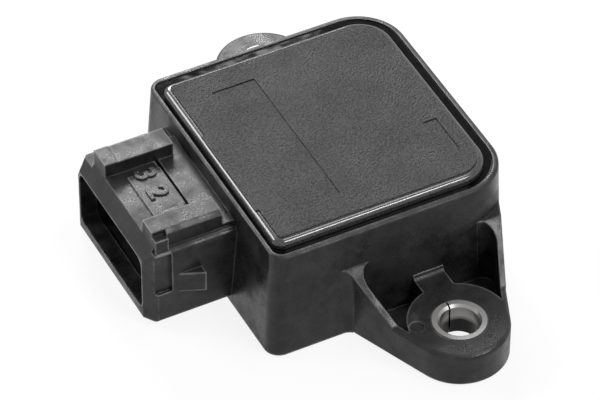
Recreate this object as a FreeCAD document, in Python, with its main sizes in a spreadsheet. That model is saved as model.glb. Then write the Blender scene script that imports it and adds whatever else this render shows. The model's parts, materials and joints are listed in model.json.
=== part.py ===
import FreeCAD, Part
import Sketcher
import os

# Throttle position sensor, in millimetres.
# Frame: +Z up, origin on the rotor axis at the mounting face, connector towards -X.
# The two fixing holes lie on the Y axis.

DRIVING = [
    # how far a cutter runs past a face, and how far joined pieces sink into each other
    ("past", 1.0), ("sink", 1.0),
    # moulded box, walls measured from the rotor axis
    ("wall_conn", 21.8), ("wall_far", 14.2), ("wall_front", 18.1), ("wall_rear", 21.1),
    ("rim_top", 16.3), ("wall_draft", 1.35), ("corner_conn", 2.2), ("corner_far", 7.0), ("rim_round", 0.4),
    ("floor_top", 3.0), ("wall_thick", 2.4), ("cavity_corner", 1.5), ("seat_top", 13.8),
    ("rim_thick", 0.8), ("rim_thick_conn", 0.5),
    # cover, with a low flange on the seat and a raised lid inside the sealing compound
    ("cover_rise", 1.4), ("flange_rise", 1.2), ("flange_gap", 0.15), ("cover_round", 0.8),
    ("cover_corner", 0.6),
    ("plateau_rise", 0.2), ("plateau_step", 0.1), ("lid_corner_far", 3.9), ("cover_skirt", 1.6),
    ("cover_plate", 1.8),
    ("seal_gap_conn", 0.4), ("seal_gap_far", 1.5), ("seal_gap_front", 0.85), ("seal_gap_rear", 2.0),
    ("seal_below_rim", 0.2), ("meniscus", 0.17), ("seal_lip", 0.02),
    ("jog_front", 9.5), ("jog_rear", 6.5), ("jog_wide", 0.5), ("jog_deep", 0.7),
    ("mark_depth", 0.12), ("insert_far", 9.0), ("insert_wide", 6.4), ("insert_front", 11.5),
    ("insert_rear", 13.7),
    ("tag_near", 7.1), ("tag_wide", 2.1), ("tag_front", 10.9), ("tag_long", 6.5),
    ("pivot_boss_dia", 8.0), ("pin_gap", 0.3),
    # connector shroud
    ("mouth_reach", 35.2), ("bevel_back", 1.36), ("bevel_front", 2.0), ("bevel_rear", 3.06),
    ("bevel_high", 2.6),
    ("conn_side_front", 7.4), ("conn_side_rear", 17.53), ("conn_bottom", 0.9), ("shoulder", 13.3),
    ("key_wide", 2.9), ("key_bottom", 7.0), ("shoulder_round", 1.0), ("conn_low_round", 0.7),
    ("bore_bottom", 2.1), ("bore_top", 11.15), ("bore_back", 24.4), ("bore_round", 1.5),
    ("lip_flat", 0.25), ("lip_long", 2.5), ("lip_high", 0.4),
    ("deck", 14.0), ("rail_top", 16.1), ("rail_front", 6.3), ("rail_rear", 12.04), ("rail_wide", 3.4),
    ("rail_bevel", 0.6), ("rail_end", 23.7), ("rail_block_long", 1.95), ("rail_block_out", 0.6),
    ("rail_block_low", 0.85), ("rail_block_proud", 0.12),
    ("pad_back", 26.0), ("pad_rise", 0.3), ("pad_front", 31.3), ("pad_inset", 1.6),
    ("pad_corner", 0.8), ("pad_gap", 0.5), ("pad_gap_deep", 0.6),
    ("strip_long", 2.1), ("strip_deep", 0.5), ("strip_bottom", 6.0),
    ("lug_start", 31.0), ("lug_long", 3.6), ("lug_proud", 1.5), ("lug_bottom", 5.6), ("lug_top", 8.8),
    # fixing ears
    ("hole_centre", 28.6), ("ear_tip", 6.85), ("ear_top", 5.0), ("ear_lean", 22.7), ("ear_root", 14.5),
    ("ear_round", 0.6), ("tip_flat", 0.03),
    ("rib_thick", 0.8), ("rib_rise", 10.8), ("rib_land", 0.6), ("rib_end", 25.8), ("flare_outer", 1.7),
    ("flare_inner", 1.8),
    ("pocket_floor", 1.2), ("boss_edge", 0.15), ("ledge_left", 1.8), ("ledge_right", 2.7),
    ("ledge_out", 1.0), ("ledge_round", 0.65), ("ledge_rise", 0.7), ("eject_dia", 2.0), ("eject_deep", 0.1),
    ("eject_left", 5.56), ("eject_out", 27.1),
    ("bush_outer", 7.4), ("bush_inner", 5.3), ("bush_proud", 0.15), ("bush_seam", 0.25), ("bush_bevel", 0.35),
    # terminals and contact springs
    ("blade_pitch", 5.0), ("blade_wide", 2.8), ("blade_thick", 0.8), ("blade_mid", 6.6),
    ("blade_recess", 4.0),
    ("blade_end", 17.2), ("blade_tip_narrow", 0.9), ("blade_tip_long", 1.8),
    ("spring_thick", 0.3), ("spring_wide", 2.0), ("spring_lap", 1.4), ("spring_bend", 0.2),
    ("foot_start", 15.3),
    ("foot_end", 13.8),
    # track plate and printed tracks
    ("plate_conn", 16.2), ("plate_half", 13.6), ("plate_thick", 0.8), ("plate_gap", 0.2), ("collar_gap", 0.4),
    ("track_edge", 0.4), ("track_wide", 1.6), ("track_gap", 1.0), ("track_thick", 0.1),
    ("track_sweep_angle", 112.0), ("track_begin_angle", 52.0), ("lead_wide", 1.2), ("lead_gap", 0.1),
    ("lead_column", 14.6),
    # rotor and wiper
    ("journal_dia", 10.0), ("run_clear", 0.03), ("hub_bottom", 0.8), ("collar_dia", 12.4),
    ("collar_top", 5.9),
    ("wheel_bottom", 6.0), ("wheel_thick", 1.6), ("wheel_dia", 19.0), ("pin_dia", 4.0), ("pin_top", 13.0),
    ("pin_bevel", 0.4), ("end_clear", 0.1), ("socket_dia", 8.0), ("socket_flat", 3.0), ("socket_top", 5.2),
    ("rest_angle", 66.0),
    ("wiper_thick", 0.25), ("wiper_half", 1.5), ("wiper_inner", 6.6), ("wiper_past_track", 0.6),
    ("finger_wide", 1.0), ("finger_root", 0.9), ("finger_reach", 4.6), ("brush_long", 0.6),
    ("brush_clear", 0.02),
    ("brush_high", 0.3),
    # seal ring of the mounting face
    ("oring_inner", 14.65), ("oring_cord", 2.0), ("groove_deep", 1.6), ("groove_slack", 0.15),
]

doc = FreeCAD.newDocument("throttle_position_sensor")
dims = doc.addObject("Spreadsheet::Sheet", "dims")
for row, (alias, size) in enumerate(DRIVING, 1):
    cell = f"A{row}"
    dims.set(cell, str(size))
    dims.setAlias(cell, alias)
doc.recompute()

# Every size in an expression is a cell of the sheet, written d.NAME for short.


def cells(expression):
    return expression.replace("d.", "dims.")


def value(expression):
    return float(dims.evalExpression(cells(expression)))


def bind(target, prop, expression):
    target.setExpression(prop, cells(expression))


def box(name, x, y, z):
    solid = doc.addObject("Part::Box", name)
    for axis, side, (low, high) in zip("xyz", ("Length", "Width", "Height"), (x, y, z)):
        bind(solid, side, f"({high}) - ({low})")
        bind(solid, f"Placement.Base.{axis}", low)
    return solid


def cylinder(name, radius, z, centre=("0", "0")):
    solid = doc.addObject("Part::Cylinder", name)
    bind(solid, "Radius", radius)
    bind(solid, "Height", f"({z[1]}) - ({z[0]})")
    for axis, place in zip("xyz", (*centre, z[0])):
        bind(solid, f"Placement.Base.{axis}", place)
    return solid


def fuse(name, solids):
    joined = doc.addObject("Part::MultiFuse", name)
    joined.Shapes = solids
    joined.Refine = True
    return joined


def cut(name, base, tool):
    left = doc.addObject("Part::Cut", name)
    left.Base = base
    left.Tool = tool
    left.Refine = True
    return left


def common(name, base, tool):
    shared = doc.addObject("Part::Common", name)
    shared.Base = base
    shared.Tool = tool
    return shared


def turn(solid, angle):
    solid.Placement = FreeCAD.Placement(FreeCAD.Vector(), FreeCAD.Rotation(FreeCAD.Vector(0, 0, 1), 1))
    bind(solid, "Placement.Rotation.Angle", angle)
    return solid


def outline(body, name, plane, corners, offset):
    sketch = body.newObject("Sketcher::SketchObject", name)
    support = next(f for f in body.Origin.OriginFeatures if f.Role == plane)
    sketch.AttachmentSupport = [(support, "")]
    sketch.MapMode = "FlatFace"
    bind(sketch, "AttachmentOffset.Base.z", offset)
    points = [FreeCAD.Vector(value(u), value(v), 0) for u, v in corners]
    for index, point in enumerate(points):
        sketch.addGeometry(Part.LineSegment(point, points[(index + 1) % len(points)]), False)
    for index, (u, v) in enumerate(corners):
        sketch.addConstraint(Sketcher.Constraint("Coincident", index, 2, (index + 1) % len(points), 1))
        for kind, place in (("DistanceX", u), ("DistanceY", v)):
            number = sketch.addConstraint(Sketcher.Constraint(kind, -1, 1, index, 1, value(place)))
            bind(sketch, f"Constraints[{number}]", place)
    return sketch


def prism(name, plane, corners, start, end):
    """A pad of a polygon; start and end are measured along the plane's normal."""
    body = doc.addObject("PartDesign::Body", name)
    pad = body.newObject("PartDesign::Pad", name + "_pad")
    pad.Profile = outline(body, name + "_outline", plane, corners, start)
    bind(pad, "Length", f"({end}) - ({start})")
    doc.recompute()
    return body


def lean_faces(body, angle, test):
    """Lean the chosen upright faces inwards from the bottom plane."""
    draft = body.newObject("PartDesign::Draft", f"{body.Name}_draft")
    chosen = [f"Face{n}" for n, face in enumerate(body.Shape.Faces, 1) if test(face)]
    draft.Base = (draft.BaseFeature, chosen)
    draft.NeutralPlane = (next(f for f in body.Origin.OriginFeatures if f.Role == "XY_Plane"), [""])
    bind(draft, "Angle", angle)
    doc.recompute()
    return body


def revolved(name, section):
    """A full turn of a polygon of (radius, height) about the upright axis."""
    body = doc.addObject("PartDesign::Body", name)
    spin = body.newObject("PartDesign::Revolution", name + "_turned")
    spin.Profile = outline(body, name + "_section", "XZ_Plane", section, "0")
    spin.ReferenceAxis = (spin.Profile[0], ["V_Axis"])
    spin.Angle = 360
    doc.recompute()
    return body


def round_edges(body, radius, test):
    fillet = body.newObject("PartDesign::Fillet", f"{body.Name}_round")
    chosen = [f"Edge{n}" for n, edge in enumerate(body.Shape.Edges, 1) if test(edge)]
    fillet.Base = (fillet.BaseFeature, chosen)
    bind(fillet, "Radius", radius)
    doc.recompute()
    return body


def bevel_edges(body, size, test):
    bevel = body.newObject("PartDesign::Chamfer", f"{body.Name}_bevel")
    chosen = [f"Edge{n}" for n, edge in enumerate(body.Shape.Edges, 1) if test(edge)]
    bevel.Base = (bevel.BaseFeature, chosen)
    bind(bevel, "Size", size)
    doc.recompute()
    return body


NEAR = 0.01


def ends_match(edge, same):
    return all(same(vertex) for vertex in edge.Vertexes)


def upright_at(places):
    """Test for edges that rise from one of several plan positions."""
    wanted = [(value(x), value(y)) for x, y in places]

    def test(edge):
        low = min(edge.Vertexes, key=lambda v: v.Z)
        high = max(edge.Vertexes, key=lambda v: v.Z)
        here = any(abs(low.X - x) < NEAR and abs(low.Y - y) < NEAR for x, y in wanted)
        return here and high.Z - low.Z > NEAR
    return test


def level_at(height):
    z = value(height)
    return lambda edge: ends_match(edge, lambda v: abs(v.Z - z) < NEAR)


def along_x_at(places):
    """Test for edges that run along X at one of several (y, z) positions."""
    wanted = [(value(y), value(z)) for y, z in places]

    def test(edge):
        return any(ends_match(edge, lambda v: abs(v.Y - y) < NEAR and abs(v.Z - z) < NEAR) for y, z in wanted)
    return test


# Outlines that follow the box: distances from the rotor axis to connector, far side, front and rear

WALLS = ("d.wall_conn", "d.wall_far", "d.wall_front", "d.wall_rear")


def inset(sides, *gaps):
    return tuple(f"{side} - ({gap})" for side, gap in zip(sides, gaps))


def rectangle(sides):
    conn, far, front, rear = sides
    return [(f"-({conn})", f"-({front})"), (far, f"-({front})"), (far, rear), (f"-({conn})", rear)]


def round_corners(body, corners, conn_radius, far_radius):
    round_edges(body, conn_radius, upright_at([corners[0], corners[3]]))
    return round_edges(body, far_radius, upright_at(corners[1:3]))


def rounded_block(name, sides, z, conn_radius, far_radius):
    corners = rectangle(sides)
    return round_corners(prism(name, "XY_Plane", corners, *z), corners, conn_radius, far_radius)


INNER_RIM = inset(WALLS, "d.rim_thick_conn", "d.rim_thick", "d.rim_thick", "d.rim_thick")
LID = inset(INNER_RIM, "d.seal_gap_conn", "d.seal_gap_far", "d.seal_gap_front", "d.seal_gap_rear")
LID_EDGE = "d.cover_round + d.plateau_step"
LID_CORNERS = (f"d.cover_corner + {LID_EDGE}", f"d.lid_corner_far + {LID_EDGE}")
RIM_CORNERS = ("d.corner_conn - d.rim_thick", "d.corner_far - d.rim_thick")
COVER_TOP = "d.rim_top + d.cover_rise"
LID_TOP = f"{COVER_TOP} - d.plateau_rise"
FLANGE_TOP = "d.seat_top + d.flange_rise"


# Moulded box, connector and ears

def shell():
    """The box, drafted towards the connector and the front, with a rounded rim."""
    base = rectangle(inset(WALLS, "-d.wall_draft", "0", "-d.wall_draft", "0"))
    block = prism("shell", "XY_Plane", base, "0", "d.rim_top")
    leaning = (FreeCAD.Vector(-1, 0, 0), FreeCAD.Vector(0, -1, 0))
    lean_faces(block, "atan(d.wall_draft / d.rim_top)",
               lambda f: any(f.normalAt(0, 0).isEqual(n, NEAR) for n in leaning))
    round_corners(block, base, "d.corner_conn", "d.corner_far")
    return round_edges(block, "d.rim_round", level_at("d.rim_top"))


MOUTH = "-d.mouth_reach"
FRAME = "-d.mouth_reach + d.bevel_back"
ROOT = "-d.wall_conn + d.sink"
RAIL_INNER_FRONT = "-d.rail_front + d.rail_wide"
RAIL_INNER_REAR = "d.rail_rear - d.rail_wide"


def shroud():
    """The connector's cross-section, with its two rails and a keyed rear corner, drawn out to the mouth."""
    low, high, key = "-d.conn_side_front", "d.conn_side_rear", "d.conn_side_rear - d.key_wide"
    section = [(low, "d.conn_bottom"), (high, "d.conn_bottom"), (high, "d.key_bottom"), (key, "d.shoulder"),
               ("d.rail_rear", "d.shoulder"), ("d.rail_rear", "d.rail_top"), (RAIL_INNER_REAR, "d.rail_top"),
               (RAIL_INNER_REAR, "d.deck"), (RAIL_INNER_FRONT, "d.deck"), (RAIL_INNER_FRONT, "d.rail_top"),
               ("-d.rail_front + d.rail_bevel", "d.rail_top"), ("-d.rail_front", "d.rail_top - d.rail_bevel"),
               ("-d.rail_front", "d.shoulder"), (low, "d.shoulder")]
    body = prism("shroud", "YZ_Plane", section, MOUTH, ROOT)
    mouth, keyed = value(MOUTH), [(value(y), value(z)) for y, z in section[2:4]]
    bevel_edges(body, "d.bevel_back", lambda e: ends_match(e, lambda v: abs(v.X - mouth) < NEAR and any(
        abs(v.Y - y) < NEAR and abs(v.Z - z) < NEAR for y, z in keyed)))
    round_edges(body, "d.shoulder_round", along_x_at([(low, "d.shoulder"), (high, "d.key_bottom")]))
    return round_edges(body, "d.conn_low_round",
                       along_x_at([(low, "d.conn_bottom"), (high, "d.conn_bottom")]))


def mouth_bevels():
    """Cutters for the slanting faces round the mouth: one on top and one at each side."""
    top_start = "d.bore_top + d.lip_flat"
    ahead, above = f"{MOUTH} - d.past", "d.rail_top + d.past"
    profile = [(ahead, top_start), (MOUTH, top_start), (FRAME, f"{top_start} + d.bevel_high"), (FRAME, above),
               (ahead, above)]
    bevels = [prism("top_bevel", "XZ_Plane", profile,
                    "-d.conn_side_rear - d.past", "d.conn_side_front + d.past")]
    for side, edge, sign in (("front", "-d.conn_side_front", "+"), ("rear", "d.conn_side_rear", "-")):
        start = f"{edge} {sign} d.bevel_{side}"
        outside = f"{edge} {sign} (-d.past)"
        plan = [(ahead, start), (MOUTH, start), (FRAME, edge), (FRAME, outside), (ahead, outside)]
        bevels.append(prism(f"{side}_bevel", "XY_Plane", plan, "d.conn_bottom - d.past", above))
    return bevels


def plug_space():
    """The bore for the plug, with a narrower lip at the mouth."""
    low = "-d.conn_side_front + d.bevel_front + d.lip_flat"
    high = "d.conn_side_rear - d.bevel_rear - d.lip_flat"
    spaces = []
    starts = (("lip_bore", "0", f"{MOUTH} - d.past"), ("inner_bore", "d.lip_high", f"{MOUTH} + d.lip_long"))
    for name, grow, start in starts:
        left, right = f"{low} - {grow}", f"{high} + {grow}"
        bottom, top = f"d.bore_bottom - {grow}", f"d.bore_top + {grow}"
        section = [(left, bottom), (right, bottom), (right, top), (left, top)]
        body = prism(name, "YZ_Plane", section, start, "-d.bore_back")
        spaces.append(round_edges(body, "d.bore_round", along_x_at(section)))
    return spaces


def connector():
    sunk = "d.shoulder - d.sink"
    below_deck = "d.deck - d.sink"
    pad_low, pad_high = f"{RAIL_INNER_FRONT} + d.pad_inset", f"{RAIL_INNER_REAR} - d.pad_inset"
    pad_plan = rectangle(("d.pad_front", "-d.pad_back - d.pad_gap", f"-({pad_low})", pad_high))
    pad = prism("pin_pad", "XY_Plane", pad_plan, below_deck, "d.deck + d.pad_rise")
    side, lug_end = "-d.conn_side_front", "-d.lug_start + d.lug_long"
    lug = [("-d.lug_start", f"{side} + d.sink"), ("-d.lug_start", side), (lug_end, f"{side} - d.lug_proud"),
           (lug_end, f"{side} + d.sink")]
    block_x = (FRAME, f"{FRAME} + d.rail_block_long")
    solid = fuse("connector_solid", [
        shroud(),
        round_edges(pad, "d.pad_corner", upright_at([pad_plan[1]])),
        box("rear_rail_block", block_x, (RAIL_INNER_REAR, "d.rail_rear"),
            (sunk, "d.rail_top + d.rail_block_proud")),
        box("front_rail_block", block_x, ("-d.rail_front - d.rail_block_out", RAIL_INNER_FRONT),
            (sunk, "d.rail_top - d.rail_block_low")),
        prism("lock_lug", "XY_Plane", lug, "d.lug_bottom", "d.lug_top"),
    ])
    above = "d.rail_top + d.past"
    cuts = mouth_bevels() + plug_space() + [
        box("side_strip", (f"{MOUTH} - d.past", f"{FRAME} + d.strip_long"),
            (f"{side} - d.past", f"{side} + d.strip_deep"), ("d.strip_bottom", "d.shoulder - d.strip_deep")),
        box("rail_start_step", block_x, (f"{side} - d.past", "-d.rail_front + d.rail_bevel"),
            ("d.rail_top - d.rail_block_low", above)),
        box("rail_end_step", ("-d.rail_end", f"{ROOT} + d.past"),
            (f"{side} - d.past", "d.conn_side_rear + d.past"), ("d.deck", above)),
        box("pad_groove", ("-d.pad_back - d.pad_gap", "-d.pad_back"), (pad_low, RAIL_INNER_REAR),
            ("d.deck - d.pad_gap_deep", above)),
    ]
    return cut("connector", solid, fuse("connector_cuts", cuts))


def half_width(out, inwards="0"):
    """Half the ear's width at a distance out, on the slanting line that touches its round tip."""
    lean = "d.ear_lean * 1 deg"
    return f"((d.ear_tip - ({inwards}) + (d.hole_centre - ({out})) * sin({lean})) / cos({lean}))"


def ear_plate(name):
    tip = "d.hole_centre + d.ear_tip"
    plan = [(f"-{half_width('d.ear_root')}", "-d.ear_root"), (f"-{half_width(tip)}", f"-({tip})"),
            (half_width(tip), f"-({tip})"), (half_width("d.ear_root"), "-d.ear_root")]
    body = prism(f"{name}_plate", "XY_Plane", plan, "0", "d.ear_top")
    round_edges(body, "d.ear_tip - d.tip_flat", upright_at(plan[1:3]))
    root, at_top = value("-d.ear_root"), level_at("d.ear_top")
    return round_edges(body, "d.ear_round",
                       lambda e: at_top(e) and not ends_match(e, lambda v: abs(v.Y - root) < NEAR))


def rib_plan(name, hand):
    places = (("d.ear_root", "0"), ("d.rib_end", "0"),
              ("d.rib_end", "d.rib_thick"), ("d.ear_root", "d.rib_thick"))
    plan = [(f"{hand}{half_width(out, inwards)}", f"-{out}") for out, inwards in places]
    return prism(name, "XY_Plane", plan, "0", "d.rib_rise")


def rib_flare(name, hand, face, side, radius):
    """Hollow rounding between the box wall and one face of a rib; side is - outside the rib, + inside."""
    lean = "d.ear_lean * 1 deg"
    halfway = f"d.wall_front + d.wall_draft / 2 + {radius}"
    touch = f"({halfway}) {side} {radius} * sin({lean})"
    across = f"{hand}{half_width(halfway, f'{face} {side} {radius}')}"
    plan = [(across, f"-({halfway})"), (across, "-d.ear_root"),
            (f"{hand}{half_width('d.ear_root', face)}", "-d.ear_root"),
            (f"{hand}{half_width(touch, face)}", f"-({touch})")]
    block = prism(f"{name}_block", "XY_Plane", plan, "0", "d.rib_rise")
    foot = f"d.wall_front + d.wall_draft + {radius}"
    middle = (f"{hand}{half_width(foot, f'{face} {side} {radius}')}", f"-({foot})")
    hollow = cylinder(f"{name}_hollow", radius, ("0", "2 * d.rib_rise"), middle)
    tilt_axis = FreeCAD.Vector(-1, value(f"{hand}tan({lean})"), 0)
    hollow.Placement = FreeCAD.Placement(FreeCAD.Vector(), FreeCAD.Rotation(tilt_axis, 1))
    bind(hollow, "Placement.Rotation.Angle", f"atan(d.wall_draft / d.rim_top / cos({lean}))")
    return cut(name, block, hollow)


def ear(name, angle):
    """One fixing ear on the front wall, turned about the rotor axis to its place."""
    centre = ("0", "-d.hole_centre")
    above = "d.ear_top + d.past"
    pockets = []
    for side, hand, ledge in (("left", "-", "d.ledge_left"), ("right", "", "d.ledge_right")):
        places = [(half_width("d.ear_root", "d.rib_thick"), "-d.ear_root"),
                  (half_width("d.hole_centre", "d.rib_thick"), "-d.hole_centre"),
                  (ledge, "-d.hole_centre"), (ledge, "-d.ear_root")]
        plan = [(f"{hand}{x}", y) for x, y in places]
        pockets.append(prism(f"{name}_{side}_pocket", "XY_Plane", plan, "d.pocket_floor", above))
    keep = cylinder(f"{name}_boss_keep", "d.ear_tip + d.boss_edge", ("0", f"{above} + d.past"), centre)
    hollow = cut(f"{name}_hollow", fuse(f"{name}_pockets", pockets), keep)
    mark = cylinder(f"{name}_eject_mark", "d.eject_dia / 2", ("d.ear_top - d.eject_deep", above),
                    ("-d.eject_left", "-d.eject_out"))
    plate = cut(f"{name}_pocketed", ear_plate(name), fuse(f"{name}_cuts", [hollow, mark]))
    ribs = fuse(f"{name}_ribs", [
        rib_plan(f"{name}_left_rib", "-"), rib_plan(f"{name}_right_rib", ""),
        rib_flare(f"{name}_left_outer_flare", "-", "0", "-", "d.flare_outer"),
        rib_flare(f"{name}_left_inner_flare", "-", "d.rib_thick", "+", "d.flare_inner"),
        rib_flare(f"{name}_right_inner_flare", "", "d.rib_thick", "+", "d.flare_inner"),
    ])
    land, end = "-d.wall_front - d.rib_land", "-d.rib_end"
    slope = prism(f"{name}_rib_slope", "YZ_Plane",
                  [("-d.ear_root", "0"), (end, "0"), (end, "d.ear_top"), (land, "d.rib_rise"),
                   ("-d.ear_root", "d.rib_rise")], "-2 * d.hole_centre", "2 * d.hole_centre")
    wall = "-d.wall_front - d.ledge_out"
    bottom, front = "d.ear_top - d.sink", f"{wall} - d.ledge_rise"
    ledge = prism(f"{name}_ledge", "YZ_Plane",
                  [("-d.ear_root", bottom), (front, bottom), (front, "d.ear_top"), (wall, "d.ear_top"),
                   (wall, "d.ear_top + d.ledge_rise"), ("-d.ear_root", "d.ear_top + d.ledge_rise")],
                  "-d.ledge_left", "d.ledge_right")
    round_edges(ledge, "d.ledge_round", along_x_at([(wall, "d.ear_top")]))
    return turn(fuse(name, [plate, common(f"{name}_gussets", ribs, slope), ledge]), angle)


def box_cuts():
    inner = inset(WALLS, *["d.wall_thick"] * 4)
    cavity = rounded_block("cavity", inner, ("d.floor_top", "d.seat_top"), "d.cavity_corner",
                           "d.corner_far - d.wall_thick")
    seat = rounded_block("cover_seat", INNER_RIM, ("d.seat_top", "d.rim_top + d.past"), *RIM_CORNERS)
    ring = "d.oring_inner / 2"
    groove = revolved("groove", [(f"{ring} - d.groove_slack", "-d.past"),
                                 (f"{ring} + d.oring_cord + d.groove_slack", "-d.past"),
                                 (f"{ring} + d.oring_cord + d.groove_slack", "d.groove_deep"),
                                 (f"{ring} - d.groove_slack", "d.groove_deep")])
    return [cavity, seat, groove]


def ear_holes():
    depth = ("-d.past", "d.ear_top + 2 * d.past")
    return [cylinder(f"{side}_ear_hole", "d.bush_outer / 2", depth, ("0", place))
            for side, place in (("front", "-d.hole_centre"), ("rear", "d.hole_centre"))]


def housing():
    solid = fuse("box_with_ears", [shell(), connector(), ear("front_ear", "0"), ear("rear_ear", "180")])
    hollow = cut("hollow_box", solid, fuse("hollows", box_cuts() + ear_holes()))
    collar = cylinder("bearing_collar", "d.collar_dia / 2", ("0", "d.collar_top"))
    bore = cylinder("journal_bore", "d.journal_dia / 2 + d.run_clear", ("-d.past", "d.collar_top + d.past"))
    slots = [box(f"blade_slot_{pin}", *blade_space(pin)) for pin in PINS]
    return cut("housing", fuse("box_with_collar", [hollow, collar]), fuse("openings", [bore] + slots))


# Cover with its pivot, and the sealing compound

def cover():
    flange = rounded_block("cover_flange", inset(INNER_RIM, *["d.flange_gap"] * 4),
                           ("d.seat_top", FLANGE_TOP), *RIM_CORNERS)
    lid = rounded_block("cover_lid", LID, ("d.seat_top", LID_TOP), *LID_CORNERS)
    round_edges(lid, "d.cover_round", level_at(LID_TOP))
    plateau_sides = inset(LID, *[LID_EDGE] * 4)
    plateau = rounded_block("cover_plateau", plateau_sides, (f"{LID_TOP} - d.sink", COVER_TOP),
                            "d.cover_corner", "d.lid_corner_far")
    jog_edge = f"-({plateau_sides[0]})"
    jog = box("cover_jog_strip", (f"{jog_edge} - d.jog_wide", f"{jog_edge} + d.sink"),
              ("-d.jog_front", "d.jog_rear"), (f"{COVER_TOP} - d.jog_deep", COVER_TOP))
    hollow = rounded_block("cover_hollow", inset(LID, *["d.cover_skirt"] * 4),
                           ("d.seat_top - d.past", f"{COVER_TOP} - d.cover_plate"),
                           "d.cover_corner", "d.lid_corner_far")
    boss_bottom = "d.wheel_bottom + d.wheel_thick + d.end_clear"
    boss = cylinder("pivot_boss", "d.pivot_boss_dia / 2", (boss_bottom, f"{COVER_TOP} - d.sink"))
    bore = cylinder("pivot_bore", "d.pin_dia / 2 + d.run_clear",
                    (f"{boss_bottom} - d.past", "d.pin_top + d.pin_gap"))
    marks = (f"{COVER_TOP} - d.mark_depth", f"{COVER_TOP} + d.past")
    insert = box("insert_recess", ("-d.insert_far - d.insert_wide", "-d.insert_far"),
                 ("-d.insert_front", "d.insert_rear"), marks)
    tag = box("tag_recess", ("d.tag_near", "d.tag_near + d.tag_wide"),
              ("-d.tag_front", "-d.tag_front + d.tag_long"), marks)
    plate = cut("cover_shell", fuse("cover_block", [flange, lid, plateau, jog]), hollow)
    return cut("cover", fuse("cover_with_boss", [plate, boss]), fuse("cover_recesses", [bore, insert, tag]))


def cover_sealant():
    """Compound poured on the cover's flange: it climbs a little up the rim and up the lid."""
    level = "d.rim_top - d.seal_below_rim"
    top = f"{level} + d.meniscus"
    fill = cut("seal_ring", rounded_block("seal_outer", INNER_RIM, (FLANGE_TOP, top), *RIM_CORNERS),
               rounded_block("seal_inner", LID, (f"{FLANGE_TOP} - d.past", f"{top} + d.past"), *LID_CORNERS))
    above = (level, f"{top} + d.past")
    lip = ["d.seal_lip"] * 4
    wide = rounded_block("dish_outer", inset(INNER_RIM, *lip), above, *RIM_CORNERS)
    round_edges(wide, "d.meniscus", level_at(level))
    core = rounded_block("dish_inner", inset(LID, *[f"-{gap}" for gap in lip]), above, *LID_CORNERS)
    return cut("cover_sealant", fill, cut("seal_dish", wide, core))


# Bushes, terminals and contact springs

def ear_bush(name, side, seam_side):
    """Rolled bush with an open seam, bevelled inside at both ends."""
    place, top = f"{side}d.hole_centre", "d.ear_top + d.bush_proud"
    inner, outer = "d.bush_inner / 2", "d.bush_outer / 2"
    wide = f"{inner} + d.bush_bevel"
    tube = revolved(f"{name}_tube", [(inner, "d.bush_bevel"), (wide, "0"), (outer, "0"), (outer, top),
                                     (wide, top), (inner, f"{top} - d.bush_bevel")])
    bind(tube, "Placement.Base.y", place)
    seam_end = f"{place} {seam_side} d.bush_outer"
    ends = (place, seam_end) if seam_side == "+" else (seam_end, place)
    seam = box(f"{name}_seam", ("-d.bush_seam / 2", "d.bush_seam / 2"), ends, ("-d.past", f"{top} + d.past"))
    return cut(name, tube, seam)


PINS = (1, 2, 3)


def blade_middle(pin):
    return f"(d.conn_side_rear - d.conn_side_front) / 2 + {pin - PINS[1]} * d.blade_pitch"


def blade_space(pin):
    middle = blade_middle(pin)
    return ((f"{MOUTH} + d.blade_recess", "-d.blade_end"),
            (f"{middle} - d.blade_wide / 2", f"{middle} + d.blade_wide / 2"),
            ("d.blade_mid - d.blade_thick / 2", "d.blade_mid + d.blade_thick / 2"))


def terminal(pin):
    (tip, end), (low, high), (bottom, top) = blade_space(pin)
    full = f"{tip} + d.blade_tip_long"
    plan = [(tip, f"{low} + d.blade_tip_narrow"), (full, low), (end, low), (end, high), (full, high),
            (tip, f"{high} - d.blade_tip_narrow")]
    return prism(f"terminal_{pin}", "XY_Plane", plan, bottom, top)


def contact_spring(pin):
    """Bent strip from the blade's inner end down to its pad on the track plate."""
    middle = blade_middle(pin)
    lap_low = "d.blade_mid + d.blade_thick / 2"
    lap_high = f"{lap_low} + d.spring_thick"
    foot_low = TRACK_LEVELS[1]
    foot_high = f"{foot_low} + d.spring_thick"
    lap_start = "-d.blade_end - d.spring_lap"
    profile = [(lap_start, lap_low), ("-d.blade_end", lap_low),
               ("-d.foot_start", foot_low), ("-d.foot_end", foot_low),
               ("-d.foot_end", foot_high), ("-d.foot_start + d.spring_bend", foot_high),
               ("-d.blade_end + d.spring_bend", lap_high), (lap_start, lap_high)]
    return prism(f"contact_spring_{pin}", "XZ_Plane", profile, f"-({middle}) - d.spring_wide / 2",
                 f"-({middle}) + d.spring_wide / 2")


# Track plate with printed tracks

PLATE_TOP = "d.floor_top + d.plate_thick"
TRACK_LEVELS = (PLATE_TOP, f"{PLATE_TOP} + d.track_thick")
PLATE_FAR = "d.wall_far - d.wall_thick - d.plate_gap"
RESIST_RADIUS = f"({PLATE_FAR} - d.track_edge - d.track_wide / 2)"
COLLECT_RADIUS = f"({RESIST_RADIUS} - d.track_wide - d.track_gap)"
TRACK_END = "(d.track_sweep_angle - d.track_begin_angle)"
LEAD_COLUMN = ("-d.lead_column - d.lead_wide / 2", "-d.lead_column + d.lead_wide / 2")


def track_plate():
    board = rounded_block("board", ("d.plate_conn", PLATE_FAR, "d.plate_half", "d.plate_half"),
                          ("d.floor_top", PLATE_TOP), "d.plate_gap",
                          "d.corner_far - d.wall_thick - d.plate_gap")
    hole = cylinder("board_hole", "d.collar_dia / 2 + d.collar_gap",
                    ("d.floor_top - d.past", f"{PLATE_TOP} + d.past"))
    return cut("track_plate", board, hole)


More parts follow.
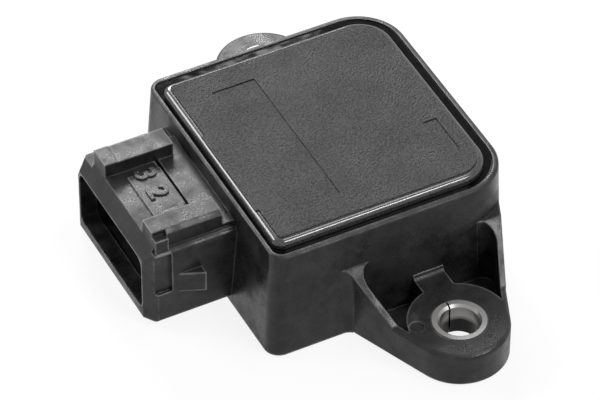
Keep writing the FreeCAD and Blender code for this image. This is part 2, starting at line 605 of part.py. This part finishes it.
def track_arc(name, radius):
    low, high = TRACK_LEVELS
    wide = cylinder(f"{name}_wide", f"{radius} + d.track_wide / 2", TRACK_LEVELS)
    bind(wide, "Angle", "d.track_sweep_angle")
    core = cylinder(f"{name}_core", f"{radius} - d.track_wide / 2", (f"{low} - d.past", f"{high} + d.past"))
    return turn(cut(name, wide, core), "-d.track_begin_angle")


def lead_row(middle):
    return f"({middle}) - d.lead_wide / 2", f"({middle}) + d.lead_wide / 2"


def collector_track():
    row = lead_row(f"{COLLECT_RADIUS} * sin({TRACK_END} * 1 deg)")
    reach = f"{COLLECT_RADIUS} * cos({TRACK_END} * 1 deg)"
    pad = (f"{blade_middle(PINS[1])} - d.lead_wide / 2", row[1])
    return fuse("collector_track", [track_arc("collector_arc", COLLECT_RADIUS),
                                    box("collector_run", (LEAD_COLUMN[0], reach), row, TRACK_LEVELS),
                                    box("collector_pad", LEAD_COLUMN, pad, TRACK_LEVELS)])


def end_lead(name, pin, angle, side):
    """Lead from one end of the resistive track to a pad under a contact spring; side is + or - along Y."""
    row = lead_row(f"{side}(({RESIST_RADIUS} + d.lead_gap) * sin({angle} * 1 deg) + d.lead_wide / 2)")
    reach = f"{RESIST_RADIUS} * cos({angle} * 1 deg)"
    pad_edges = lead_row(blade_middle(pin))
    pad = (pad_edges[0], row[1]) if side == "+" else (row[0], pad_edges[1])
    strip = fuse(f"{name}_print", [box(f"{name}_run", (LEAD_COLUMN[0], reach), row, TRACK_LEVELS),
                                   box(f"{name}_pad", LEAD_COLUMN, pad, TRACK_LEVELS)])
    return cut(name, strip, track_arc(f"{name}_clear", RESIST_RADIUS))


# Rotor and wiper

def rotor():
    """Stepped hub turned from one section, with a D-shaped socket for the spindle."""
    wheel_top = "d.wheel_bottom + d.wheel_thick"
    journal, wheel, pin = "d.journal_dia / 2", "d.wheel_dia / 2", "d.pin_dia / 2"
    hub = revolved("rotor_hub", [("0", "d.hub_bottom"), (journal, "d.hub_bottom"),
                                 (journal, "d.wheel_bottom"), (wheel, "d.wheel_bottom"),
                                 (wheel, wheel_top), (pin, wheel_top),
                                 (pin, "d.pin_top - d.pin_bevel"), (f"{pin} - d.pin_bevel", "d.pin_top"),
                                 ("0", "d.pin_top")])
    depth = ("d.hub_bottom - d.past", "d.socket_top")
    socket = common("socket", cylinder("socket_round", "d.socket_dia / 2", depth),
                    box("socket_flat_side", ("-d.socket_dia", "d.socket_flat"),
                        ("-d.socket_dia", "d.socket_dia"), depth))
    return turn(cut("rotor", hub, socket), "-d.rest_angle")


BRUSH_TOP = f"{TRACK_LEVELS[1]} + d.brush_clear + d.brush_high"
BRUSH_START = "d.finger_reach - d.brush_long"


def finger_span(radius):
    """Where a finger lies across the wiper, so that its brush runs at a radius of the track."""
    middle = f"sqrt({radius}^2 - (d.finger_reach - d.brush_long / 2)^2)"
    return f"{middle} - d.finger_wide / 2", f"{middle} + d.finger_wide / 2"


def wiper_spring():
    top, low = "d.wheel_bottom", "d.wheel_bottom - d.wiper_thick"
    pieces = [box("wiper_plate", ("d.wiper_inner", f"{RESIST_RADIUS} + d.wiper_past_track"),
                  ("-d.wiper_half", "d.wiper_half"), (low, top))]
    profile = [("d.finger_root", top), ("d.finger_root", low),
               (BRUSH_START, BRUSH_TOP), ("d.finger_reach", BRUSH_TOP),
               ("d.finger_reach", f"{BRUSH_TOP} + d.wiper_thick"),
               (BRUSH_START, f"{BRUSH_TOP} + d.wiper_thick")]
    for name, radius in (("outer_finger", RESIST_RADIUS), ("inner_finger", COLLECT_RADIUS)):
        pieces.append(prism(name, "YZ_Plane", profile, *finger_span(radius)))
    return turn(fuse("wiper_spring", pieces), "-d.rest_angle")


def brush(name, radius):
    end, shank, point = "d.finger_reach", f"{BRUSH_TOP} - d.brush_high / 2", f"{BRUSH_TOP} - d.brush_high"
    profile = [(BRUSH_START, BRUSH_TOP), (BRUSH_START, shank), (f"{BRUSH_START} + d.brush_long / 4", point),
               (f"{end} - d.brush_long / 4", point), (end, shank), (end, BRUSH_TOP)]
    return turn(prism(name, "YZ_Plane", profile, *finger_span(radius)), "-d.rest_angle")


def mounting_oring():
    ring = doc.addObject("Part::Torus", "mounting_oring")
    bind(ring, "Radius1", "d.oring_inner / 2 + d.oring_cord / 2")
    bind(ring, "Radius2", "d.oring_cord / 2")
    bind(ring, "Placement.Base.z", "d.groove_deep - d.oring_cord / 2")
    return ring


nodes = {
    "housing": housing(),
    "cover": cover(),
    "cover_sealant": cover_sealant(),
    "front_ear_bush": ear_bush("front_ear_bush", "-", "+"),
    "rear_ear_bush": ear_bush("rear_ear_bush", "", "-"),
    "track_plate": track_plate(),
    "resistive_track": track_arc("resistive_track", RESIST_RADIUS),
    "collector_track": collector_track(),
    "supply_lead": end_lead("supply_lead", PINS[2], TRACK_END, "+"),
    "ground_lead": end_lead("ground_lead", PINS[0], "d.track_begin_angle", "-"),
    "rotor": rotor(),
    "wiper_spring": wiper_spring(),
    "track_brush": brush("track_brush", RESIST_RADIUS),
    "collector_brush": brush("collector_brush", COLLECT_RADIUS),
    "mounting_oring": mounting_oring(),
}
for pin in PINS:
    nodes[f"terminal_{pin}"] = terminal(pin)
    nodes[f"contact_spring_{pin}"] = contact_spring(pin)
doc.recompute()

for thing in doc.Objects:
    if "Invalid" in thing.State or "Error" in thing.State:
        raise RuntimeError(f"{thing.Name} did not build: {thing.State}")
for label, thing in nodes.items():
    thing.Label = label
    if thing.Shape.isNull() or not thing.Shape.isValid():
        raise RuntimeError(f"{label} has no valid shape")
    print(label, "solids", len(thing.Shape.Solids), "volume", round(thing.Shape.Volume, 2))

os.makedirs("parts", exist_ok=True)
for label, thing in nodes.items():
    thing.Shape.exportStep(f"parts/{label}.step")
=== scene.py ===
"""Looks of the throttle position sensor: materials, raised pin numbers, studio light and the camera."""

import json
import math

import bpy
from mathutils import Matrix, Vector


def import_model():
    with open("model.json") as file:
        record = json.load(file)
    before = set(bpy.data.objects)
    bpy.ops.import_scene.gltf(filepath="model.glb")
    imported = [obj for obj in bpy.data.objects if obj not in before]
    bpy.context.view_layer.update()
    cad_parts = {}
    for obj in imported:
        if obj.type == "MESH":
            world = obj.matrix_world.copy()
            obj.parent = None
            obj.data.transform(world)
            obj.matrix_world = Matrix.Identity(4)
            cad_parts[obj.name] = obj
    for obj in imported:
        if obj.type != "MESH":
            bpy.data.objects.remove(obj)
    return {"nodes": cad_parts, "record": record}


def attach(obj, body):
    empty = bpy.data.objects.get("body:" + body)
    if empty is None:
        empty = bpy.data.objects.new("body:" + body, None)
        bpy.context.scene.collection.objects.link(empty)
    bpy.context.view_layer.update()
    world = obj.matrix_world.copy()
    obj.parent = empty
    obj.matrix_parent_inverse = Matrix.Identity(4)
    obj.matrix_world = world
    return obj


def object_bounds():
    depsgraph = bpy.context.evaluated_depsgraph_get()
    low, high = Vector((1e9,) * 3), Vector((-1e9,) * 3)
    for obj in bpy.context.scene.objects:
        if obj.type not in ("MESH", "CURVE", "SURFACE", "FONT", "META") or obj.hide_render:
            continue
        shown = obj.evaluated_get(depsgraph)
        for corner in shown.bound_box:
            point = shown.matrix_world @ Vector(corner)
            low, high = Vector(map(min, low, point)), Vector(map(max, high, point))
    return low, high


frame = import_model()
cad_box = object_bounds()
MM = 0.001

# Camera: a long lens, to the left of the front ear and well above it; lens and sensor are in millimetres
CAMERA_AZIMUTH = math.radians(-27.32)
CAMERA_ELEVATION = math.radians(43.55)
CAMERA_ROLL = math.radians(0.25)
CAMERA_DISTANCE = 584.07 * MM
CAMERA_AIM = Vector((-6.61, 4.59, 1.66)) * MM
LENS = 255.86
SENSOR = 36.0
CLIP_NEAR = 0.01
CLIP_FAR = 20.0

# Raised pin numbers on the plug's top, from the rear to the front
DIGITS = ("3", "2", "1")
DIGIT_HEIGHT = 2.9 * MM
FONT_SIZE_PER_HEIGHT = 1.4
DIGIT_PITCH = 3.93 * MM
DIGIT_FIRST = Vector((-30.2, 6.5, 14.25)) * MM
DIGIT_TURN = math.radians(-90)
DIGIT_HALF_DEPTH = 0.24 * MM
DIGIT_EDGE = 0.05 * MM
DIGIT_STROKE = 0.06 * MM

# Moulded edges: rounding in the shading, rays for it and for the highlight painted along outer edges, and how
# open the inside of a face and of an edge is
EDGE_RADIUS = 0.3 * MM
EDGE_SAMPLES = 6
EDGE_HIGHLIGHT_SAMPLES = 8
FACE_OPENNESS = 0.96
EDGE_OPENNESS = 0.55

# Mouldings: darkest and lightest mottle as shares of the tone, and how far the roughness goes either way
MOTTLE_DARK = 0.45
MOTTLE_LIGHT = 1.6
GLOSSIER = 0.15
DULLER = 0.2

# Lid: height between its border and its grained field, half the step between them, and the finish of both
LID_FIELD = 17.54 * MM
LID_STEP = 0.01 * MM
LID_GRAIN_DEPTH = 0.16 * MM
LID_BORDER_GRAIN = 0.02
LID_BORDER_ROUGH = 0.21
LID_BORDER_SPECULAR = 0.75
LID_FIELD_SPECULAR = 0.16

# Sealing compound
SEALANT_WAVE_DEPTH = 0.015 * MM
SEALANT_SPECULAR = 0.05

# Bushes: heights between which the bore turns from painted shade to bright metal
SHADED_BORE_HEIGHT = 2.0 * MM
LIT_BORE_HEIGHT = 3.6 * MM

# Metals and prints: depth of lines and speckles, the way the lines run, and warmth of plating and silver
FINE_DEPTH = 0.01 * MM
LINES_ALONG_X = (1, 6, 6)
LINES_ALONG_Z = (6, 6, 1)
PLATED_WARMTH = 0.02

# Stage: half the floor's side, its finish, the share of it that shows as white, and the world's two strengths
FLOOR_HALF = 3.0
FLOOR_SHADE = 0.86
FLOOR_ROUGH = 0.9
BACKGROUND_SHARE = 0.88
WORLD_LIGHT = 0.16
WORLD_SEEN = 1.0

# Lamps: direction from the object's middle, distance, width and height in metres, power in watts
LAMPS = {
    "back_lamp": dict(direction=(0.2, 0.8, 0.56), distance=0.7, size=(0.26, 0.18), power=4.2),
    "left_lamp": dict(direction=(-0.62, 0.6, 0.5), distance=0.6, size=(0.3, 0.2), power=2.2),
    "top_lamp": dict(direction=(0.33, 0.05, 0.94), distance=0.6, size=(0.16, 0.2), power=0.7),
    "front_lamp": dict(direction=(0.33, -0.62, 0.7), distance=0.7, size=(0.3, 0.1), power=2.6),
}


class Graph:
    """A node tree with the socket of its output, and short calls for making and joining nodes."""

    def __init__(self, tree, output):
        self.tree = tree
        tree.nodes.clear()
        self.surface = self.add(output).inputs["Surface"]

    def add(self, kind, **settings):
        node = self.tree.nodes.new(kind)
        for key, setting in settings.items():
            if hasattr(node, key):
                setattr(node, key, setting)
            else:
                node.inputs[key.replace("_", " ")].default_value = setting
        return node

    def join(self, source, target):
        self.tree.links.new(source, target)

    def noise(self, vector, scale, detail=2.0, roughness=0.5):
        node = self.add("ShaderNodeTexNoise", Scale=scale, Detail=detail, Roughness=roughness)
        self.join(vector, node.inputs["Vector"])
        return node.outputs["Fac"]

    def ramp(self, factor, stops):
        node = self.add("ShaderNodeValToRGB")
        for place, (position, colour) in enumerate(stops):
            if place < 2:
                element = node.color_ramp.elements[place]
                element.position = position
            else:
                element = node.color_ramp.elements.new(position)
            element.color = (*colour, 1.0)
        self.join(factor, node.inputs["Fac"])
        return node.outputs["Color"]

    def spread(self, factor, low=0.0, high=1.0, start=0.0, end=1.0):
        node = self.add("ShaderNodeMapRange", From_Min=start, From_Max=end, To_Min=low, To_Max=high)
        self.join(factor, node.inputs["Value"])
        return node.outputs["Result"]

    def combine(self, operation, *sources):
        node = self.add("ShaderNodeMath", operation=operation)
        for source, target in zip(sources, node.inputs):
            self.join(source, target)
        return node.outputs[0]

    def bump(self, height, distance, strength=None, before=None):
        node = self.add("ShaderNodeBump", Strength=1.0, Distance=distance)
        self.join(height, node.inputs["Height"])
        if strength is not None:
            self.join(strength, node.inputs["Strength"])
        if before is not None:
            self.join(before, node.inputs["Normal"])
        return node.outputs["Normal"]


def new_material(name):
    """A material with its graph, its shader and the place of a point on its object."""
    material = bpy.data.materials.new(name)
    material.use_nodes = True
    graph = Graph(material.node_tree, "ShaderNodeOutputMaterial")
    shader = graph.add("ShaderNodeBsdfPrincipled")
    graph.join(shader.outputs["BSDF"], graph.surface)
    place = graph.add("ShaderNodeTexCoord").outputs["Object"]
    return material, graph, shader, place


def wire(graph, shader, colour, rough, normal):
    graph.join(colour, shader.inputs["Base Color"])
    graph.join(rough, shader.inputs["Roughness"])
    graph.join(normal, shader.inputs["Normal"])


def grey(level, warmth=0.0):
    return (level * (1 + warmth), level, level * (1 - warmth))


def edge_normals_and_highlight(graph):
    """Normals rounded at the edges, and a share that rises towards one on an outer edge, where a highlight is
    painted.
    """
    soft = graph.add("ShaderNodeBevel", samples=EDGE_SAMPLES, Radius=EDGE_RADIUS)
    inward = graph.add("ShaderNodeAmbientOcclusion", samples=EDGE_HIGHLIGHT_SAMPLES, Distance=EDGE_RADIUS,
                       inside=True, only_local=True)
    edge = graph.spread(inward.outputs["AO"], start=FACE_OPENNESS, end=EDGE_OPENNESS)
    return soft.outputs["Normal"], edge


def by_height(graph, place, low, high):
    """Node that goes from its lower to its upper bound between two heights of the sensor."""
    split = graph.add("ShaderNodeSeparateXYZ")
    graph.join(place, split.inputs[0])
    node = graph.add("ShaderNodeMapRange", From_Min=low, From_Max=high)
    graph.join(split.outputs["Z"], node.inputs["Value"])
    return node


def moulded(name, tone, edge_highlight_and_wear, grain, depth, rough, specular):
    """Filled plastic: mottled tone, fine mould grain, uneven gloss and a highlight painted paler along outer
    edges, with a little wear.
    """
    material, graph, shader, place = new_material(name)
    normal, edge = edge_normals_and_highlight(graph)
    mottle = graph.noise(place, scale=330, detail=8.0, roughness=0.78)
    # Patches that break up the highlight painted along outer edges
    highlight_and_wear_patches = graph.spread(graph.noise(place, scale=800, detail=3.0), low=0.2, high=0.9)
    # The last stop is the highlight painted along outer edges, with a little wear
    tones = [(0.38, grey(tone * MOTTLE_DARK)), (0.62, grey(tone * MOTTLE_LIGHT)), (1.0, grey(edge_highlight_and_wear))]
    clouds = graph.noise(place, scale=240, detail=4.0, roughness=0.6)
    fine = graph.noise(place, scale=grain, detail=3.0, roughness=0.6)
    wire(
        graph, shader,
        colour=graph.ramp(graph.combine("MULTIPLY_ADD", edge, highlight_and_wear_patches, mottle), tones),
        rough=graph.spread(clouds, low=rough - GLOSSIER, high=rough + DULLER, start=0.36, end=0.62),
        normal=graph.bump(fine, depth, before=normal),
    )
    shader.inputs["Specular IOR Level"].default_value = specular
    return material


def cover_plastic():
    """Lid: eroded grain on the raised field, smooth gloss on its rounded border."""
    material, graph, shader, place = new_material("cover_plastic")
    field = by_height(graph, place, LID_FIELD - LID_STEP, LID_FIELD + LID_STEP).outputs["Result"]
    grain = graph.noise(place, scale=3400, detail=3.0, roughness=0.6)
    patches = graph.noise(place, scale=190, detail=4.0, roughness=0.6)
    rough = graph.add("ShaderNodeMapRange", To_Min=LID_BORDER_ROUGH)
    graph.join(field, rough.inputs["Value"])
    graph.join(graph.spread(patches, low=0.28, high=0.5, start=0.36, end=0.64), rough.inputs["To Max"])
    wire(
        graph, shader,
        colour=graph.ramp(grain, [(0.36, grey(0.004)), (0.66, grey(0.045))]),
        rough=rough.outputs["Result"],
        normal=graph.bump(grain, LID_GRAIN_DEPTH, strength=graph.spread(field, low=LID_BORDER_GRAIN)),
    )
    specular = shader.inputs["Specular IOR Level"]
    graph.join(graph.spread(field, low=LID_BORDER_SPECULAR, high=LID_FIELD_SPECULAR), specular)
    # The field's level, also as the socket's own value where the link is not followed.
    # The field's level, for an export that drops the link
    specular.default_value = LID_FIELD_SPECULAR
    return material


def sealing_compound():
    """Poured compound: wet gloss over a slightly wavy surface."""
    material, graph, shader, place = new_material("sealing_compound")
    wire(
        graph, shader,
        colour=graph.ramp(graph.noise(place, scale=700), [(0.3, grey(0.003)), (0.7, grey(0.008))]),
        rough=graph.spread(graph.noise(place, scale=500), low=0.03, high=0.07),
        normal=graph.bump(graph.noise(place, scale=420, detail=1.0), SEALANT_WAVE_DEPTH),
    )
    shader.inputs["Specular IOR Level"].default_value = SEALANT_SPECULAR
    return material


def bush_steel():
    """Plated bush: bright rim and upper bore, with shade painted darker towards the bottom of the bore."""
    material, graph, shader, place = new_material("bush_steel")
    clouds = graph.noise(place, scale=520, detail=4.0, roughness=0.6)
    # The bore is painted darker towards the bottom as shade, with clouds breaking up both ends
    bore_painted_light = by_height(graph, place, SHADED_BORE_HEIGHT, LIT_BORE_HEIGHT)
    graph.join(graph.spread(clouds, low=-0.25, high=0.05), bore_painted_light.inputs["To Min"])
    graph.join(graph.spread(clouds, low=0.8, high=1.1), bore_painted_light.inputs["To Max"])
    wire(
        graph, shader,
        colour=graph.ramp(bore_painted_light.outputs["Result"], [(0.25, grey(0.015)), (0.8, grey(0.27, PLATED_WARMTH))]),
        rough=graph.spread(clouds, low=0.3, high=0.46),
        normal=graph.bump(clouds, FINE_DEPTH),
    )
    shader.inputs["Metallic"].default_value = 1.0
    return material


def metal(name, dull, bright, rough, stretch):
    """Drawn or plated metal: tone clouds and fine lines along one direction."""
    material, graph, shader, place = new_material(name)
    mapping = graph.add("ShaderNodeMapping", Scale=stretch)
    graph.join(place, mapping.inputs["Vector"])
    lines = graph.noise(mapping.outputs["Vector"], scale=1800, detail=3.0, roughness=0.6)
    clouds = graph.noise(place, scale=420, detail=3.0)
    wire(
        graph, shader,
        colour=graph.ramp(clouds, [(0.3, dull), (0.68, bright)]),
        rough=graph.spread(lines, low=rough - 0.08, high=rough + 0.1),
        normal=graph.bump(lines, FINE_DEPTH),
    )
    shader.inputs["Metallic"].default_value = 1.0
    return material


def printed(name, dull, bright, rough):
    """Board or screen-printed paste: speckled and matt."""
    material, graph, shader, place = new_material(name)
    speckle = graph.noise(place, scale=3500, detail=3.0, roughness=0.6)
    wire(
        graph, shader,
        colour=graph.ramp(speckle, [(0.35, dull), (0.65, bright)]),
        rough=graph.spread(graph.noise(place, scale=900), low=rough - 0.1, high=rough + 0.1),
        normal=graph.bump(speckle, FINE_DEPTH),
    )
    return material


# Materials by slot, with the values of their recipe
MOULDINGS = {
    # The edge tone of each moulding is a highlight painted along its outer edges, with a little wear
    "moulded_plastic": dict(tone=0.013, edge_highlight_and_wear=0.16, grain=4600, depth=0.026 * MM, rough=0.31, specular=0.28),
    "rotor_plastic": dict(tone=0.52, edge_highlight_and_wear=0.85, grain=5000, depth=0.015 * MM, rough=0.5, specular=0.4),
    "seal_rubber": dict(tone=0.02, edge_highlight_and_wear=0.03, grain=6000, depth=0.02 * MM, rough=0.62, specular=0.3),
}
METALS = {
    "tinned_blade": dict(dull=grey(0.52, PLATED_WARMTH), bright=grey(0.7, PLATED_WARMTH), rough=0.33,
                         stretch=LINES_ALONG_X),
    "spring_bronze": dict(dull=(0.5, 0.3, 0.13), bright=(0.74, 0.48, 0.24), rough=0.3, stretch=LINES_ALONG_X),
    "brush_metal": dict(dull=(0.62, 0.52, 0.3), bright=(0.8, 0.7, 0.45), rough=0.28, stretch=LINES_ALONG_Z),
}
PRINTS = {
    "silver_print": dict(dull=grey(0.42, PLATED_WARMTH), bright=grey(0.6, PLATED_WARMTH), rough=0.45),
    "carbon_print": dict(dull=grey(0.012), bright=grey(0.026), rough=0.5),
    "board": dict(dull=(0.62, 0.6, 0.52), bright=(0.76, 0.74, 0.67), rough=0.6),
}


def make_materials():
    made = {
        "cover_plastic": cover_plastic(),
        "sealing_compound": sealing_compound(),
        "bush_steel": bush_steel(),
    }
    for recipe, table in ((moulded, MOULDINGS), (metal, METALS), (printed, PRINTS)):
        for slot, values in table.items():
            made[slot] = recipe(slot, **values)
    return made


def dress_nodes(materials):
    """Each CAD node takes the material of its slot."""
    slots = {part["node"]: part["material_slot"] for part in frame["record"]["subparts"]}
    for name, node in frame["nodes"].items():
        node.data.materials.clear()
        node.data.materials.append(materials[slots[name]])


def new_object(name, data):
    piece = bpy.data.objects.new(name, data)
    bpy.context.scene.collection.objects.link(piece)
    return piece


def pin_numbers(material):
    """Raised numbers that read from the plug's mouth."""
    for place, digit in enumerate(DIGITS):
        curve = bpy.data.curves.new(f"pin_number_{digit}", "FONT")
        curve.body = digit
        curve.size = DIGIT_HEIGHT * FONT_SIZE_PER_HEIGHT
        curve.extrude = DIGIT_HALF_DEPTH
        curve.offset = DIGIT_STROKE
        curve.bevel_depth = DIGIT_EDGE
        curve.align_x = "CENTER"
        curve.materials.append(material)
        piece = new_object(f"pin_number_{digit}", curve)
        piece.location = DIGIT_FIRST - Vector((0, DIGIT_PITCH * place, 0))
        piece.rotation_euler = (0, 0, DIGIT_TURN)
        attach(piece, "sensor_body")


def seen_directly(graph):
    """One where a ray comes from the camera, a mirror or glass, so that the white background shows there."""
    path = graph.add("ShaderNodeLightPath")
    seen = path.outputs["Is Camera Ray"]
    for ray in ("Is Glossy Ray", "Is Transmission Ray"):
        seen = graph.combine("MAXIMUM", seen, path.outputs[ray])
    return seen


def floor():
    """Pale floor that shows as white and keeps a soft shadow."""
    mesh = bpy.data.meshes.new("floor")
    low = cad_box[0].z
    corners = [(-1, -1), (1, -1), (1, 1), (-1, 1)]
    mesh.from_pydata([(x * FLOOR_HALF, y * FLOOR_HALF, low) for x, y in corners], [], [(0, 1, 2, 3)])
    piece = new_object("floor", mesh)
    material, graph, shader, _ = new_material("floor_pale")
    shader.inputs["Base Color"].default_value = (*grey(FLOOR_SHADE), 1)
    shader.inputs["Roughness"].default_value = FLOOR_ROUGH
    white = graph.add("ShaderNodeEmission", Strength=1.0)
    share = graph.add("ShaderNodeMath", operation="MULTIPLY")
    graph.join(seen_directly(graph), share.inputs[0])
    share.inputs[1].default_value = BACKGROUND_SHARE
    mix = graph.add("ShaderNodeMixShader")
    for source, target in zip((share, shader, white), mix.inputs):
        graph.join(source.outputs[0], target)
    graph.join(mix.outputs[0], graph.surface)
    mesh.materials.append(material)


def world():
    """White where it is seen, dim where it lights."""
    made = bpy.data.worlds.new("studio")
    bpy.context.scene.world = made
    made.use_nodes = True
    graph = Graph(made.node_tree, "ShaderNodeOutputWorld")
    background = graph.add("ShaderNodeBackground")
    background.inputs["Color"].default_value = (1, 1, 1, 1)
    graph.join(graph.spread(seen_directly(graph), WORLD_LIGHT, WORLD_SEEN), background.inputs["Strength"])
    graph.join(background.outputs[0], graph.surface)


def softbox(name, direction, distance, size, power):
    """Lamp at a distance from the object's middle, turned towards it; size is its width and height."""
    lamp = bpy.data.lights.new(name, "AREA")
    lamp.shape = "RECTANGLE"
    lamp.size, lamp.size_y = size
    lamp.energy = power
    piece = new_object(name, lamp)
    middle = (cad_box[0] + cad_box[1]) / 2
    away = Vector(direction).normalized()
    piece.location = middle + away * distance
    piece.rotation_euler = away.to_track_quat("Z", "Y").to_euler()


def camera():
    data = bpy.data.cameras.new("camera")
    data.lens = LENS
    data.sensor_width = SENSOR
    data.clip_start = CLIP_NEAR
    data.clip_end = CLIP_FAR
    piece = new_object("camera", data)
    turn = Matrix.Rotation(CAMERA_AZIMUTH, 4, "Z")
    tilt = Matrix.Rotation(math.pi / 2 - CAMERA_ELEVATION, 4, "X")
    roll = Matrix.Rotation(CAMERA_ROLL, 4, "Z")
    away = Matrix.Translation(Vector((0, 0, CAMERA_DISTANCE)))
    piece.matrix_world = Matrix.Translation(CAMERA_AIM) @ turn @ tilt @ roll @ away
    bpy.context.scene.camera = piece


bpy.context.scene.view_settings.view_transform = "Standard"
materials = make_materials()
dress_nodes(materials)
pin_numbers(materials["moulded_plastic"])
floor()
world()
for lamp_name, values in LAMPS.items():
    softbox(lamp_name, **values)
camera()
